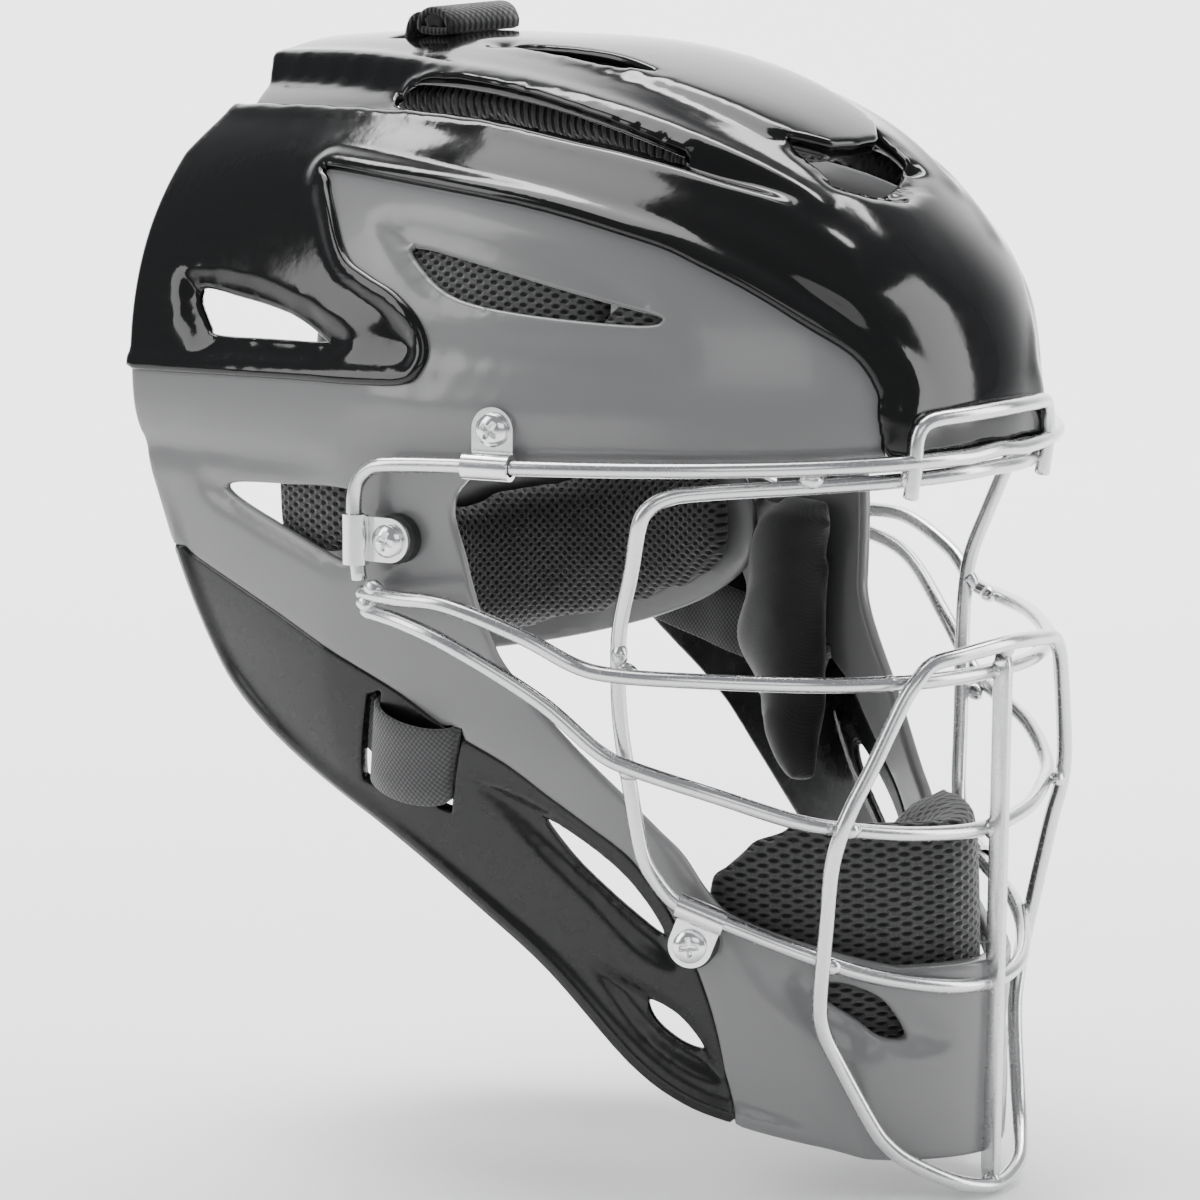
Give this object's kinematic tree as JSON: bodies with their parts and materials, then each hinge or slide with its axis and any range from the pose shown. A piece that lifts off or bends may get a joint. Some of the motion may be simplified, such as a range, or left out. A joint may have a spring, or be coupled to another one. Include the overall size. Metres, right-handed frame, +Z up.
{
  "type": "catcher's mask",
  "caption": "Full-head catcher's mask: two-tone vented shell, welded wire face cage on clips, foam pads, and a padded back plate on elastic straps.",
  "frame": {"origin": "on the centre plane inside the head cavity, at the height of the ear clip screws, where the head sits", "axes": "+Z up, -Y the way the face looks, -X the wearer's right"},
  "size_m": [0.218, 0.236, 0.3127],
  "materials": {
    "black_gloss": "gloss black moulding",
    "grey_gloss": "gloss mid grey moulding",
    "black_satin": "satin black moulding",
    "mesh_fabric": "black spacer mesh over foam",
    "smooth_fabric": "black brushed fabric over foam",
    "cage_wire": "bright plated wire",
    "clip_steel": "plated sheet and screws",
    "plain_steel": "plain steel",
    "rubber": "black rubber",
    "webbing": "black woven webbing",
    "elastic": "dark knitted elastic",
    "black_plastic": "black moulded plastic"
  },
  "bodies": {
    "shell": {"crown_shell": "black_gloss", "face_shell": "grey_gloss", "jaw_panel_right": "black_satin", "jaw_panel_left": "black_satin", "forehead_pad": "mesh_fabric", "crown_pad": "mesh_fabric", "side_pad_right": "mesh_fabric", "side_pad_left": "mesh_fabric", "jaw_pad_right": "smooth_fabric", "jaw_pad_left": "smooth_fabric", "chin_pad": "mesh_fabric", "upper_bar": "cage_wire", "eye_frame": "cage_wire", "upper_ring": "cage_wire", "lower_ring": "cage_wire", "chin_loop": "cage_wire", "brow_loop": "cage_wire", "centre_bar": "cage_wire", "upper_clips": "clip_steel", "ear_clips": "clip_steel", "jaw_clips": "clip_steel", "clip_screws": "clip_steel", "clip_nuts": "plain_steel", "ear_spacers": "rubber", "jaw_spacers": "rubber", "strap_tab": "webbing", "crown_strap": "webbing", "strap_loop_right": "elastic", "strap_loop_left": "elastic", "side_strap_right": "elastic", "side_strap_left": "elastic"},
    "back_plate": {"back_plate": "grey_gloss", "back_pad": "mesh_fabric", "top_strap": "webbing", "strap_slide": "black_plastic", "plate_rivets": "plain_steel"}
  },
  "joints": [
    {"name": "back_plate_swing", "type": "hinge", "parent": "shell", "child": "back_plate", "pos_m": [0, 0.0885, 0.1181], "axis": [1, 0, 0], "range_deg": [0, 14], "stiffness_Nm_per_rad": 3, "deforming": ["side_strap_right", "side_strap_left"]}
  ]
}
